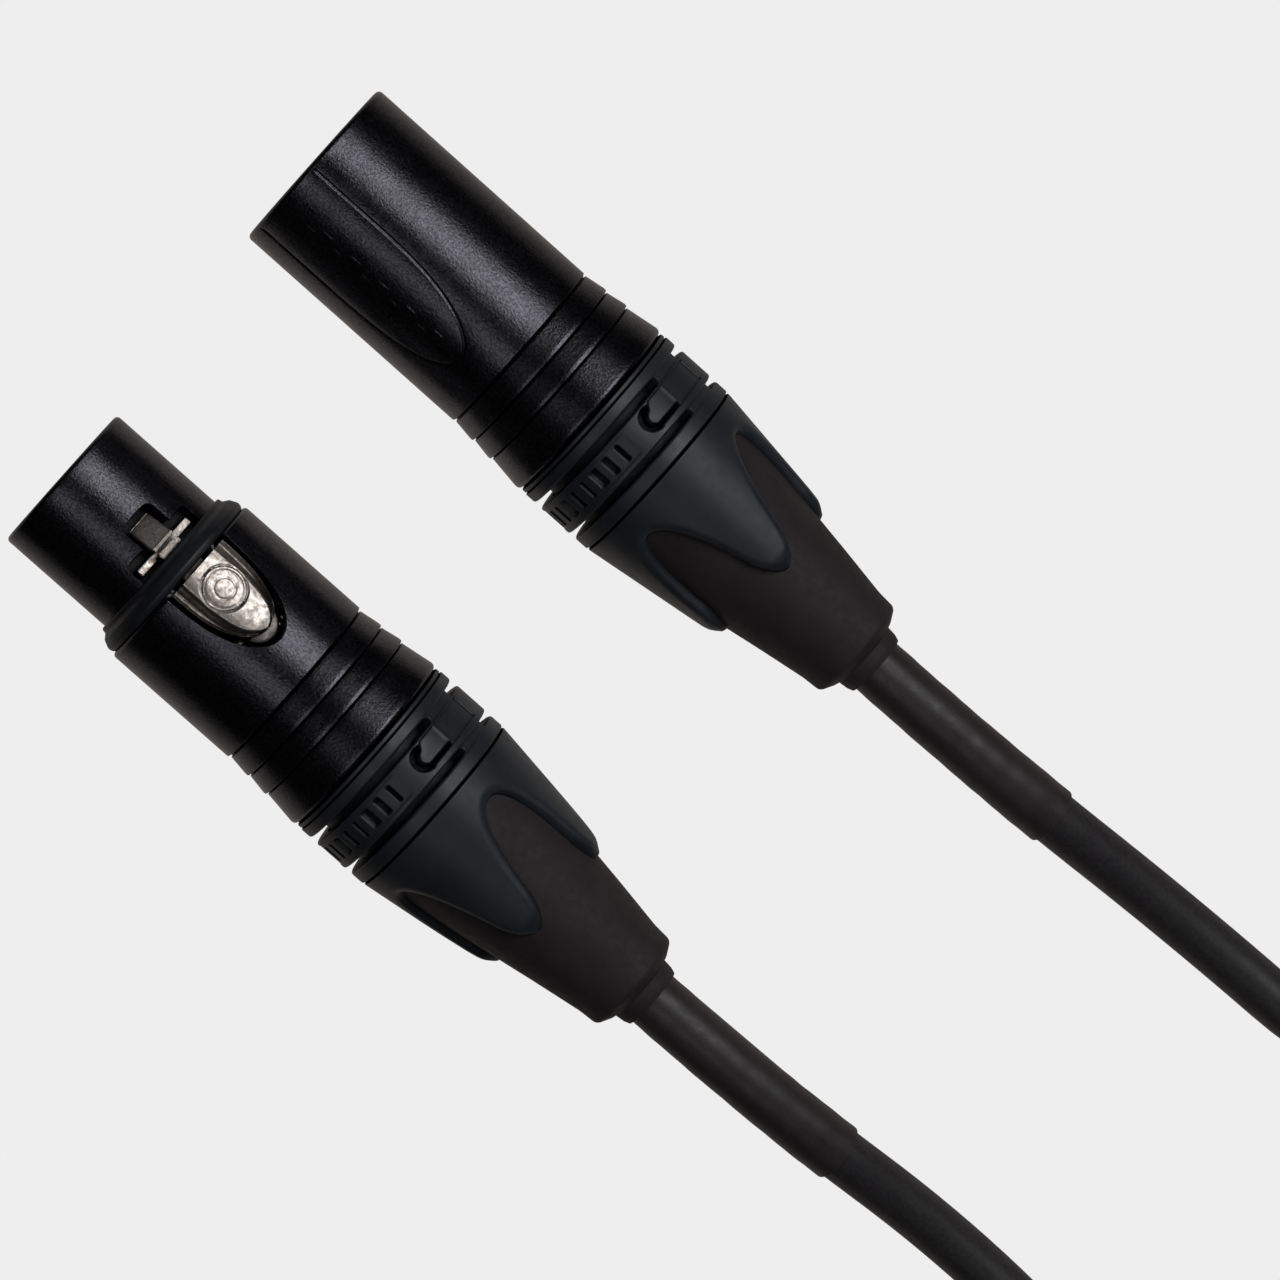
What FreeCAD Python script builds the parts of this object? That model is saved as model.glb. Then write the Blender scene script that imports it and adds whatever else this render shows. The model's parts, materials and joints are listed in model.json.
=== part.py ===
import FreeCAD, Part

import math
import os

V = FreeCAD.Vector
X_AXIS = V(1, 0, 0)
ORIGIN = V(0, 0, 0)

# A balanced audio cable: a male and a female three-pole connector lie side by side, noses towards -X, and one
# cable joins them through a coil. Millimetres, +Z up, the surface they lie on is Z = 0. Each connector is
# modelled about its own axis, along X with its front face at x = 0, and then moved to its place.

# ---- driving dimensions --------------------------------------------------------------------------
CABLE_D = 5.4
SLEEVE_R = 3.0
BODY_R = 9.5
WIDEST_R = 10.24
NOSE_R = 8.0
NOSE_LENGTH = 12.6
RING_SEAT_R = 7.7
CARRIER_R = 8.35
BODY_BORE_R = 8.4
MOUTH_R = 8.15
PIN_R = 1.2
SOCKET_BORE_R = 1.25
SOCKET_R = 1.75
CONTACTS = [(3.8, 1.6), (-3.8, 1.6), (0.0, -3.9)]
SHANK_R = 1.45
WIRE_NAMES = ["hot", "cold", "shield"]
WIRE_R = 0.62
CUT_END = 33.0
AXIS_Z = WIDEST_R
AXIS_Y = 19.35
MALE_X = -39.15
FEMALE_X = -37.15
# the rear half of the female connector is the male's, this much further back
REAR_SHIFT = {"male": 0.0, "female": 3.3}
# how far each feature leans from straight up towards +Y, in degrees
CONTACT_TURN = {"male": 0.0, "female": 16.5}
LATCH_TURN = 16.5
PANEL_TURN = -31.0
PETAL_TURN = {"male": 10.0, "female": -16.0}
# each grip step's start and end along the axis, and the radius at each
GRIP_STEPS = [(26.3, 9.42, 29.0, 9.72), (29.25, 9.58, 31.6, 9.92), (31.85, 9.76, 34.9, WIDEST_R)]
HOUSING_END = 35.8
INSERT_FRONT = 13.5
NIB_END = 73.1
FIT = 0.05

# ---- the latch -----------------------------------------------------------------------------------
PIVOT_X = 23.2
PIVOT_HEIGHT = 6.0
PIVOT_R = 0.6
ROOM_FLOOR = 4.6

# ---- the cable's route ---------------------------------------------------------------------------
COIL_X = 144.5
COIL_R = 31.4
TURN_GAP = 5.5
LAYER_GAP = 5.45
COIL_LAYERS = 4
ROUTES = {
    "male": [
        (33.95, 19.35, 10.24),
        (49.6, 19.35, 10.24),
        (75.0, 21.0, 2.7),
        (98.0, 21.3, 2.7),
        (121.5, 36.9, 2.7),
        (144.5, 36.9, 2.7),
    ],
    "female": [
        (39.25, -19.35, 10.24),
        (55.0, -19.35, 10.24),
        (79.5, -17.7, 2.8),
        (101.0, -19.2, 3.6),
        (122.5, -35.2, 12.8),
        (144.5, -36.9, 19.05),
    ],
}
SLEEVE_START = 62.0
SLEEVE_STUB = 1.0


# ---- shape helpers -------------------------------------------------------------------------------
def rounded_wire(corners, to_vector):
    """A closed wire through (a, b) corners; a third number rounds that corner with a tangent arc."""
    spots = [(c[0], c[1], c[2] if len(c) > 2 else 0.0) for c in corners]
    arcs = []
    for i, (a, b, radius) in enumerate(spots):
        before = spots[i - 1]
        after = spots[(i + 1) % len(spots)]
        into = V(before[0] - a, before[1] - b, 0).normalize()
        out = V(after[0] - a, after[1] - b, 0).normalize()
        here = V(a, b, 0)
        if radius == 0.0:
            arcs.append((here, None, here))
            continue
        half = into.getAngle(out) / 2
        reach = radius / math.tan(half)
        inward = (into + out).normalize()
        middle = here + inward * (radius / math.sin(half) - radius)
        arcs.append((here + into * reach, middle, here + out * reach))
    edges = []
    for i, (start, middle, end) in enumerate(arcs):
        if middle is not None:
            bend = Part.Arc(*[to_vector(p.x, p.y) for p in (start, middle, end)])
            edges.append(bend.toShape())
        following = arcs[(i + 1) % len(arcs)][0]
        if end.distanceToPoint(following) > 1e-6:
            run = Part.LineSegment(to_vector(end.x, end.y), to_vector(following.x, following.y))
            edges.append(run.toShape())
    return Part.Wire(edges)


def turned(corners):
    """A solid turned about the X axis from (x, radius) corners."""
    wire = rounded_wire(corners, lambda x, r: V(x, 0, r))
    return Part.Face(wire).revolve(ORIGIN, X_AXIS, 360)


def plan_prism(corners, low, high, turn=0.0):
    """A prism over an (x, sideways) outline, from height low to high, turned about the X axis."""
    wire = rounded_wire(corners, lambda x, y: V(x, y, low))
    return about_axis(Part.Face(wire).extrude(V(0, 0, high - low)), turn)


def side_prism(corners, width, turn=0.0):
    """A prism of an (x, height) outline, centred sideways, turned about the X axis."""
    wire = rounded_wire(corners, lambda x, z: V(x, -width / 2, z))
    return about_axis(Part.Face(wire).extrude(V(0, width, 0)), turn)


def rod(x0, x1, radius, y=0.0, z=0.0):
    return Part.makeCylinder(radius, x1 - x0, V(x0, y, z), X_AXIS)


def ring(x0, x1, inner, outer):
    return rod(x0, x1, outer).cut(rod(x0 - 1, x1 + 1, inner))


def block(x0, x1, y0, y1, z0, z1, turn=0.0):
    return about_axis(Part.makeBox(x1 - x0, y1 - y0, z1 - z0, V(x0, y0, z0)), turn)


def about_axis(shape, turn):
    """Turn a shape about the connector's axis so that its top leans towards +Y by the given degrees."""
    turned_shape = shape.copy()
    turned_shape.rotate(ORIGIN, X_AXIS, -turn)
    return turned_shape


def cut_all(shape, tools):
    for tool in tools:
        shape = shape.cut(tool)
    return shape


def fuse_all(shapes):
    whole = shapes[0]
    for shape in shapes[1:]:
        whole = whole.fuse(shape)
    return whole.removeSplitter()


# ---- housings ------------------------------------------------------------------------------------
def grip_steps(shift):
    """The outer corners of the three saw-tooth grip steps and of the housing's rounded rear edge."""
    corners = []
    for start, low, end, high in GRIP_STEPS:
        corners += [(start - 0.25 + shift, low - 0.2), (start + shift, low), (end + shift, high)]
    return corners + [(HOUSING_END + shift, WIDEST_R, 0.5), (HOUSING_END + shift, BODY_BORE_R)]


def tongue_prism(inset, low, high):
    """The label panel's outline, open at the front and rounded to a blunt end, made smaller by inset."""
    half = 4.4 - inset
    end = 22.8 - inset
    blunt = 0.9 - inset / 2
    side = [(-1 - inset, half), (10.5, half, 14.0), (end, blunt, 2.4)]
    return plan_prism(side + [(x, -y, *radius) for x, y, *radius in reversed(side)], low, high)


def male_housing():
    outline = [(0, MOUTH_R + 0.35), (0, BODY_R, 0.5), (26.05, BODY_R)]
    outline += grip_steps(0.0)
    outline += [(INSERT_FRONT, BODY_BORE_R), (INSERT_FRONT, MOUTH_R), (0.35, MOUTH_R)]
    line = tongue_prism(0.0, 5, 12).cut(tongue_prism(0.22, 4, 13))
    groove = about_axis(line.common(ring(-2, 26, BODY_R - 0.12, 11)), PANEL_TURN)
    catch_pocket = block(1.3, 4.7, -1.7, 1.7, 7.5, 8.85)
    return cut_all(turned(outline), [groove, catch_pocket])


def latch_window():
    """The T-shaped window in the nose, its slot under the rubber ring and the U-shaped recess behind."""
    stem = [(7.6, -1.95, 0.7), (7.6, 1.95, 0.7), (11, 1.95), (11, -1.95)]
    crossbar = [(10.4, -4.2, 0.6), (10.4, 4.2, 0.6), (12.55, 4.2, 0.4), (12.55, -4.2, 0.4)]
    slot = [(12, -1.9), (12, 1.9), (16, 1.9), (16, -1.9)]
    recess = [
        (15.15, -4.15), (15.15, 4.15), (20.5, 4.15, 3.0),
        (25.7, 1.7, 1.6), (25.7, -1.7, 1.6), (20.5, -4.15, 3.0),
    ]
    shapes = [plan_prism(outline, 5, 12, LATCH_TURN) for outline in (stem, crossbar, slot, recess)]
    return fuse_all(shapes)


def female_housing():
    outline = [(0, 7.45), (0, NOSE_R, 0.5), (NOSE_LENGTH, NOSE_R), (NOSE_LENGTH, RING_SEAT_R)]
    outline += [(15.0, RING_SEAT_R), (15.0, 9.6, 0.3), (29.35, 9.6)]
    outline += grip_steps(REAR_SHIFT["female"])
    outline += [(16.2, BODY_BORE_R), (16.2, 7.25), (0.2, 7.25)]
    return turned(outline).cut(latch_window())


# ---- contacts and their carriers -----------------------------------------------------------------
def contact_spot(number, side):
    """A contact's (y, z) place, with the whole pattern leaning as the connector's key does."""
    y, z = CONTACTS[number]
    lean = math.radians(CONTACT_TURN[side])
    return (y * math.cos(lean) + z * math.sin(lean), z * math.cos(lean) - y * math.sin(lean))


def contact_holes(side, x0, x1, radius):
    return [rod(x0, x1, radius, *contact_spot(number, side)) for number in range(len(CONTACTS))]


def male_insert():
    body = rod(INSERT_FRONT, 22.0, CARRIER_R - FIT)
    holes = contact_holes("male", 13, 23, SHANK_R)
    key = block(18.0, 23.0, -1.0, 1.0, 7.2, 9.0)
    return cut_all(body, holes + [key])


def male_pin(number):
    """A contact pin with a domed tip and a half-open solder cup behind the carrier."""
    y, z = contact_spot(number, "male")
    front = INSERT_FRONT
    tip = turned([(2.2, 0), (2.2, PIN_R, 0.8), (front, PIN_R), (front, SHANK_R), (22.0, SHANK_R), (22.0, 0)])
    cup = ring(23.2, 27.0, 0.8, 1.2).fuse(rod(22.0, 23.2, 1.2))
    cup = cup.cut(block(24.0, 28.0, -2, 2, 0.2, 2))
    pin = tip.fuse(cup).removeSplitter()
    pin.translate(V(0, y, z))
    return pin


def female_insert():
    nose = rod(0.5, 16.2, 7.25 - FIT)
    flange = rod(16.2, 24.5, CARRIER_R - FIT)
    hook_room = block(7.2, 16.5, -2.0, 2.0, 5.3, 9, LATCH_TURN)
    ear_room = block(10.2, 12.8, -4.4, 4.4, 5.0, 9, LATCH_TURN)
    lever_room = block(15.9, 25.0, -3.9, 3.9, ROOM_FLOOR, 9, LATCH_TURN)
    holes = contact_holes("female", 0, 1.5, 1.45) + contact_holes("female", 1.5, 25, SOCKET_R)
    return cut_all(nose.fuse(flange), [hook_room, ear_room, lever_room, latch_pin()] + holes)


def female_socket(number):
    """A socket contact: a tube open at the front, with a half-open solder cup at the rear."""
    y, z = contact_spot(number, "female")
    barrel = rod(1.5, 24.5, SOCKET_R).cut(rod(1, 12.5, SOCKET_BORE_R))
    cup = ring(25.2, 29.3, 0.8, 1.2).fuse(rod(24.5, 25.2, 1.2))
    cup = cup.cut(block(26.3, 30.5, -2, 2, 0.2, 2))
    socket = barrel.fuse(cup).removeSplitter()
    socket.translate(V(0, y, z))
    return socket


# ---- latch ---------------------------------------------------------------------------------------
def latch_pin():
    pin = Part.makeCylinder(PIVOT_R, 9.8, V(PIVOT_X, -4.9, PIVOT_HEIGHT), V(0, 1, 0))
    return about_axis(pin, LATCH_TURN)


def latch_lever():
    """The press tab on the body, its neck under the rubber ring, and the hook in the nose's window."""
    tab_plan = [
        (15.45, -3.6, 0.4), (15.45, 3.6, 0.4), (19.0, 3.6, 3.0),
        (24.2, 1.1, 1.1), (24.2, -1.1, 1.1), (19.0, -3.6, 3.0),
    ]
    tab = plan_prism(tab_plan, 5, 12).common(ring(15, 25, 8.75, 9.75))
    front_web = block(15.45, 16.4, -1.5, 1.5, 7.0, 9.4)
    neck = block(11.5, 16.4, -1.5, 1.5, 6.6, 7.35)
    ears = block(10.9, 12.2, -3.7, 3.7, 6.3, 7.0)
    hook = side_prism([(8.3, 6.4), (8.3, 6.8), (11.4, 7.7), (12.4, 7.75), (12.4, 6.4)], 2.7)
    lug = Part.makeCylinder(1.15, 5.0, V(PIVOT_X, -2.5, PIVOT_HEIGHT), V(0, 1, 0))
    web = block(PIVOT_X - 0.8, PIVOT_X + 0.6, -1.6, 1.6, PIVOT_HEIGHT, 9.2)
    eye = Part.makeCylinder(PIVOT_R + FIT, 12, V(PIVOT_X, -6, PIVOT_HEIGHT), V(0, 1, 0))
    lever = fuse_all([tab, front_web, neck, ears, hook, lug, web]).cut(eye)
    return about_axis(lever, LATCH_TURN)


def latch_spring():
    """A bent leaf: it stands on the carrier's slot floor and its free end carries the tab."""
    foot = ROOM_FLOOR
    leaf = [(16.8, foot), (20.8, foot), (17.4, 8.55), (16.9, 8.35), (19.9, foot + 0.3), (16.8, foot + 0.3)]
    return side_prism(leaf, 2.6, LATCH_TURN)


def rubber_ring():
    front = NOSE_LENGTH
    crown = [(front, 8.35, 0.3), (14.4, 9.45, 0.4), (15.0, 9.25, 0.3)]
    return turned([(front, RING_SEAT_R)] + crown + [(15.0, RING_SEAT_R)])


# ---- cable grip and strain relief, at the male's stations ----------------------------------------
def chuck():
    """A collet: two arms reach forward to the carrier, four slotted jaws grip the cable jacket."""
    grip_r = CABLE_D / 2 + FIT
    outline = [(28.0, 5.2), (28.0, 6.3), (37.0, 6.3, 1.0), (43.0, 5.0), (43.0, grip_r), (33.0, grip_r)]
    slits = [block(34.0, 44.0, -0.4, 0.4, 0, 8, 45 + 90 * i) for i in range(4)]
    arms = ring(22.3, 28.5, 5.2, 6.3)
    windows = [block(21, 27.4, -8, 8, -3.4, 8), block(21, 27.4, -3.0, 3.0, -8, 8)]
    return cut_all(turned(outline).fuse(arms).removeSplitter(), slits + windows)


def valley_outline():
    """Half the gap between two petals, from its rounded start to the petals' tips, mirrored."""
    side = [(47.6, 0.0), (48.9, 1.9), (52.5, 3.25), (57.0, 4.3), (59.3, 5.2), (59.9, 6.4)]
    upper = [V(x, y, 0) for x, y in side]
    lower = [V(x, -y, 0) for x, y in reversed(side)]
    curve = Part.BSplineCurve()
    curve.interpolate(lower[:-1] + upper)
    tail = [upper[-1], V(64, 6.4, 0), V(64, -6.4, 0), lower[0]]
    edges = [curve.toShape()]
    edges += [Part.LineSegment(a, b).toShape() for a, b in zip(tail, tail[1:])]
    return Part.Wire(edges)


def bushing(turn):
    """The screw-on nut: threaded nose, two flanges with the coding ring's neck between, four petals."""
    outline = [
        (30.0, 6.75), (30.0, 8.2, 0.3), (36.1, 8.2), (36.1, 10.2, 0.25), (37.7, 10.2, 0.25),
        (37.75, 9.2), (38.4, 9.2), (38.4, 8.6), (42.05, 8.6), (42.05, 9.2),
        (42.5, 9.2), (42.5, 10.2, 0.25), (44.5, 10.2, 0.25), (44.6, 10.0), (44.8, 10.17),
        (58.2, 8.35, 1.0), (60.0, 7.35), (60.0, 6.93), (44.8, 9.33), (44.2, 6.9), (44.0, 5.4), (43.3, 5.3),
        (37.6, 6.75),
    ]
    valley = Part.Face(valley_outline()).extrude(V(0, 0, 12))
    valleys = [about_axis(valley, turn + 45 + 90 * i) for i in range(4)]
    return cut_all(turned(outline), valleys)


def boot():
    """The soft cone between the petals, its rounded end and its nib."""
    bore_r = SLEEVE_R + 0.15
    skin = [(45.2, 9.26), (60.0, 6.93), (68.6, 5.58, 3.0), (70.6, 5.42, 0.6), (71.3, 4.2, 0.3)]
    nib = [(71.5, 3.55), (NIB_END - 0.4, 3.45, 0.15), (NIB_END, 3.25)]
    return turned([(45.2, bore_r)] + skin + nib + [(NIB_END, bore_r)])


def coding_ring():
    """An open snap-in ring with a round notch beside its gap."""
    band_r = WIDEST_R - 0.04
    band = turned([(38.55, 8.65), (38.55, band_r, 0.2), (41.9, band_r, 0.2), (41.9, 8.65)])
    gap = block(38, 43, -2.0, 2.0, 0, 12, 50)
    notch = about_axis(Part.makeCylinder(1.0, 12, V(41.6, 0, 0), V(0, 0, 1)), 20)
    return cut_all(band, [gap, notch])


# ---- wires and cable -----------------------------------------------------------------------------
def wire(number, side, cup_x, end_x):
    """One insulated wire, from its solder cup to the cable's cut end."""
    y, z = contact_spot(number, side)
    near = V(cup_x, y, z)
    far = V(end_x, y * 0.3, z * 0.3)
    return tube(tangent_path([near, near + V(1.4, 0, 0), far - V(1.0, 0, 0), far]), WIRE_R)


def tangent_path(points):
    """Straight runs joined by tangent arcs; each arc takes 0.45 of the shorter run beside it."""
    edges = []
    at = points[0]
    for before, here, after in zip(points, points[1:], points[2:]):
        into = (before - here).normalize()
        out = (after - here).normalize()
        reach = 0.45 * min(before.distanceToPoint(here), after.distanceToPoint(here))
        half_turn = (math.pi - into.getAngle(out)) / 2
        radius = reach / math.tan(half_turn)
        inward = (into + out).normalize()
        middle = here + inward * (radius / math.cos(half_turn) - radius)
        start = here + into * reach
        end = here + out * reach
        edges.append(Part.LineSegment(at, start).toShape())
        edges.append(Part.Arc(start, middle, end).toShape())
        at = end
    edges.append(Part.LineSegment(at, points[-1]).toShape())
    return edges


def tube(edges, radius):
    start = edges[0].firstVertex().Point
    heading = edges[0].tangentAt(edges[0].FirstParameter)
    section = Part.Wire([Part.makeCircle(radius, start, heading)])
    return Part.Wire(edges).makePipeShell([section], True, False)


def report_path(name, points, solid):
    """Print a lead's radii, its length, and its volume against section times length."""
    radii = []
    for before, here, after in zip(points, points[1:], points[2:]):
        turn = math.pi - (before - here).getAngle(after - here)
        shorter = min(before.distanceToPoint(here), after.distanceToPoint(here))
        radii.append(0.45 * shorter / math.tan(turn / 2))
    length = sum(edge.Length for edge in tangent_path(points))
    expected = math.pi * (CABLE_D / 2) ** 2 * length
    print(name, "radii", [round(r, 1) for r in radii], "length", round(length, 1),
          "volume ratio", round(solid.Volume / expected, 4))


def lead(side):
    points = [V(*p) for p in ROUTES[side]]
    solid = tube(tangent_path(points), CABLE_D / 2)
    report_path(side + "_lead", points, solid)
    return solid


def sleeve(side):
    """Heat-shrink over the cable, from inside the boot to a little past the lead's first bend."""
    points = [V(*p) for p in ROUTES[side]]
    first_run, bend, second_run = tangent_path(points)[:3]
    bend_start = first_run.lastVertex().Point
    bend_end = second_run.firstVertex().Point
    back = V(SLEEVE_START - NIB_END, 0, 0)
    onward = (second_run.lastVertex().Point - bend_end).normalize()

    def path(extra):
        front = Part.LineSegment(points[0] + back - X_AXIS * extra, bend_start).toShape()
        stub = Part.LineSegment(bend_end, bend_end + onward * (SLEEVE_STUB + extra)).toShape()
        return [front, bend, stub]

    return tube(path(0.0), SLEEVE_R).cut(tube(path(1.0), CABLE_D / 2))


def coil():
    """The closed outer shape of the wound cable, less the room that the tie takes."""
    outer = COIL_R + TURN_GAP + CABLE_D / 2
    inner = COIL_R - TURN_GAP - CABLE_D / 2
    height = (COIL_LAYERS - 1) * LAYER_GAP + CABLE_D
    middle = V(COIL_X, 0, 0)
    body = Part.makeCylinder(outer, height, middle).cut(Part.makeCylinder(inner, height, middle))
    return body.cut(cable_tie())


def cable_tie():
    """A hook-and-loop strap round the coil's far side."""
    thick = 1.2
    width = 14.0
    inner = COIL_X + COIL_R - TURN_GAP - CABLE_D / 2 - 0.6
    outer = COIL_X + COIL_R + TURN_GAP + CABLE_D / 2 + 0.1
    top = 22.95
    hole = [(inner, thick, 1.5), (outer, thick, 1.5), (outer, top, 1.5), (inner, top, 1.5)]
    loop = [
        (inner - thick, 0, 2.5), (outer + thick, 0, 2.5),
        (outer + thick, top + thick, 2.5), (inner - thick, top + thick, 2.5),
    ]
    return side_prism(loop, width).cut(side_prism(hole, width + 2))


# ---- build ---------------------------------------------------------------------------------------
def connector_parts(side):
    """Every piece of one connector, about its own axis with its front face at x = 0."""
    if side == "male":
        parts = {"housing": male_housing(), "insert": male_insert()}
        parts.update({f"pin_{i + 1}": male_pin(i) for i in range(3)})
        cup_x = 26.0
    else:
        parts = {
            "housing": female_housing(),
            "insert": female_insert(),
            "rubber_ring": rubber_ring(),
            "latch_lever": latch_lever(),
            "latch_pin": latch_pin(),
            "latch_spring": latch_spring(),
        }
        parts.update({f"socket_{i + 1}": female_socket(i) for i in range(3)})
        cup_x = 28.3
    rear = {
        "chuck": chuck(),
        "bushing": bushing(PETAL_TURN[side]),
        "boot": boot(),
        "coding_ring": coding_ring(),
        "cable_end": rod(CUT_END, NIB_END, CABLE_D / 2),
    }
    for piece, shape in rear.items():
        shape.translate(V(REAR_SHIFT[side], 0, 0))
        parts[piece] = shape
    for number, name in enumerate(WIRE_NAMES):
        parts["wire_" + name] = wire(number, side, cup_x, CUT_END + REAR_SHIFT[side])
    return parts


def main():
    os.makedirs("parts", exist_ok=True)
    nodes = {"cable_coil": coil(), "cable_tie": cable_tie()}
    for side, front_x, y in (("male", MALE_X, AXIS_Y), ("female", FEMALE_X, -AXIS_Y)):
        for piece, shape in connector_parts(side).items():
            shape.translate(V(front_x, y, AXIS_Z))
            nodes[f"{side}_{piece}"] = shape
        nodes[f"{side}_lead"] = lead(side)
        nodes[f"{side}_sleeve"] = sleeve(side)
    for node, shape in sorted(nodes.items()):
        solids = shape.Solids
        if not shape.isValid() or len(solids) != 1:
            print("check", node, "valid", shape.isValid(), "solids", len(solids))
        shape.exportStep(f"parts/{node}.step")
    print(len(nodes), "nodes")


main()
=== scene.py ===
"""Looks of a balanced audio cable: a male and a female cable connector side by side, and their cable."""

import json
import math

import bmesh
import bpy
import numpy as np
from mathutils import Matrix, Vector


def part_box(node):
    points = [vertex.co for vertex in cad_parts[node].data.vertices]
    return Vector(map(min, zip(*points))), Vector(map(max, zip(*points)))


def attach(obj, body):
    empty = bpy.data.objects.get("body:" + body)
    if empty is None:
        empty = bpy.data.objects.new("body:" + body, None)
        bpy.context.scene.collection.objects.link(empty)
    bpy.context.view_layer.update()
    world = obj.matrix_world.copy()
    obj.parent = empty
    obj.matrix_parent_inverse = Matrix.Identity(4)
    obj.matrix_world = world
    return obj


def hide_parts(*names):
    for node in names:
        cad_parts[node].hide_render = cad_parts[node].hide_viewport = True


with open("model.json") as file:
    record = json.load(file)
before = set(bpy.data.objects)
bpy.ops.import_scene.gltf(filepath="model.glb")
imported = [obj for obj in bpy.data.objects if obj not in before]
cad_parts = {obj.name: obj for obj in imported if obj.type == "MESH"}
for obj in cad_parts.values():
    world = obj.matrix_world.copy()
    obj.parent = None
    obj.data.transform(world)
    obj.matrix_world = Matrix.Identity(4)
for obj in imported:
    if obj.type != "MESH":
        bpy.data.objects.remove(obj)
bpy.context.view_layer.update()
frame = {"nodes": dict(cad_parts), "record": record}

MM = 0.001


# ---- places and sizes, from the frame ----------------------------------------------------------
class Seat:
    """Where a connector sits: its front face and its axis, in millimetres."""

    def __init__(self, side):
        low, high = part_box(side + "_housing")
        self.side = side
        self.front = low.x / MM
        self.y = (low.y + high.y) / 2 / MM
        self.z = (low.z + high.z) / 2 / MM
        self.rear_shift = (high.x - low.x) / MM - HOUSING_END
        self.nut = side + "_nut"

    def world(self, x, r, phi):
        """Row-frame metres for local x, radius and the angle from straight up towards +Y."""
        return np.stack([
            (self.front + x) * MM + 0 * phi,
            (self.y + r * np.sin(phi)) * MM,
            (self.z + r * np.cos(phi)) * MM,
        ], axis=-1)


HOUSING_END = 35.8
WIDEST_R = 10.24
BODY_R = 9.5
GRIP_STEPS = [(26.85, 9.42, 29.2, 9.72), (29.45, 9.58, 31.65, 9.92), (31.9, 9.76, 34.9, WIDEST_R)]
MOUTH_R = 8.15
BORE_R = 8.4
NOSE_R = 8.0
NOSE_LENGTH = 12.6
FEMALE_BODY_R = 9.6
FEMALE_BORE_R = 7.25
RING_SEAT_R = 7.7
CABLE_R = 2.7
SLEEVE_R = 3.0
NIB_END = 73.1
LATCH_TURN = math.radians(16.5)
PANEL_TURN = math.radians(-31.0)
PETAL_TURN = {"male": math.radians(10.0), "female": math.radians(-16.0)}
SLEEVE_REACH = {"male": 23.2, "female": 24.3}
MALE = Seat("male")
FEMALE = Seat("female")

# ---- camera --------------------------------------------------------------------------------------
VIEW_CENTRE = (0.01510, 0.00596)
VIEW_WIDTH = 0.1243
VIEW_ROLL = math.radians(41.65)
CAMERA_X = -0.032
CAMERA_HEIGHT = 0.56
SENSOR = 36.0


def add_camera():
    """Above the noses, leaning a little towards the middle of the pair, rolled so the noses point up left."""
    lean = math.atan((VIEW_CENTRE[0] - CAMERA_X) / CAMERA_HEIGHT)
    distance = CAMERA_HEIGHT / math.cos(lean)
    data = bpy.data.cameras.new("camera")
    data.sensor_width = SENSOR
    data.lens = SENSOR * distance / VIEW_WIDTH
    camera = bpy.data.objects.new("camera", data)
    camera.rotation_euler = (Matrix.Rotation(-lean, 3, "Y") @ Matrix.Rotation(VIEW_ROLL, 3, "Z")).to_euler()
    camera.location = (CAMERA_X, VIEW_CENTRE[1], MALE.z * MM + CAMERA_HEIGHT)
    bpy.context.scene.collection.objects.link(camera)
    bpy.context.scene.camera = camera


add_camera()
bpy.context.scene.view_settings.view_transform = "Standard"


# ---- materials -----------------------------------------------------------------------------------
def new_material(name, base, roughness, **sockets):
    """A principled material; sockets are given by name with _ for spaces."""
    material = bpy.data.materials.new(name)
    material.use_nodes = True
    shader = material.node_tree.nodes["Principled BSDF"]
    shader.inputs["Base Color"].default_value = (*base, 1)
    shader.inputs["Roughness"].default_value = roughness
    for key, value in sockets.items():
        shader.inputs[key.replace("_", " ")].default_value = value
    return material


def noise(material, scale, detail=3.0, stretch=(1, 1, 1), roughness=0.5):
    """A noise texture in the object's own coordinates, stretched along an axis where asked."""
    tree = material.node_tree
    place = tree.nodes.new("ShaderNodeTexCoord")
    mapping = tree.nodes.new("ShaderNodeMapping")
    mapping.inputs["Scale"].default_value = stretch
    texture = tree.nodes.new("ShaderNodeTexNoise")
    texture.inputs["Scale"].default_value = scale
    texture.inputs["Detail"].default_value = detail
    texture.inputs["Roughness"].default_value = roughness
    tree.links.new(place.outputs["Object"], mapping.inputs["Vector"])
    tree.links.new(mapping.outputs["Vector"], texture.inputs["Vector"])
    return texture.outputs["Fac"]


def ramp(material, value, low, high, start=0.35, end=0.65):
    """Maps a noise value to a range of numbers."""
    tree = material.node_tree
    node = tree.nodes.new("ShaderNodeMapRange")
    node.inputs["From Min"].default_value = start
    node.inputs["From Max"].default_value = end
    node.inputs["To Min"].default_value = low
    node.inputs["To Max"].default_value = high
    tree.links.new(value, node.inputs["Value"])
    return node.outputs["Result"]


def tint(material, value, dark, light, start=0.35, end=0.65):
    """Colours the base between two tones."""
    tree = material.node_tree
    node = tree.nodes.new("ShaderNodeValToRGB")
    node.color_ramp.elements[0].position = start
    node.color_ramp.elements[1].position = end
    node.color_ramp.elements[0].color = (*dark, 1)
    node.color_ramp.elements[1].color = (*light, 1)
    tree.links.new(value, node.inputs["Fac"])
    tree.links.new(node.outputs["Color"], tree.nodes["Principled BSDF"].inputs["Base Color"])


def rough(material, value, low, high, start=0.35, end=0.65):
    tree = material.node_tree
    result = ramp(material, value, low, high, start, end)
    tree.links.new(result, tree.nodes["Principled BSDF"].inputs["Roughness"])


def sparkle(material, value, low, high, start=0.35, end=0.65):
    """Varies how strongly the surface mirrors light."""
    tree = material.node_tree
    result = ramp(material, value, low, high, start, end)
    tree.links.new(result, tree.nodes["Principled BSDF"].inputs["Specular IOR Level"])


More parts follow.
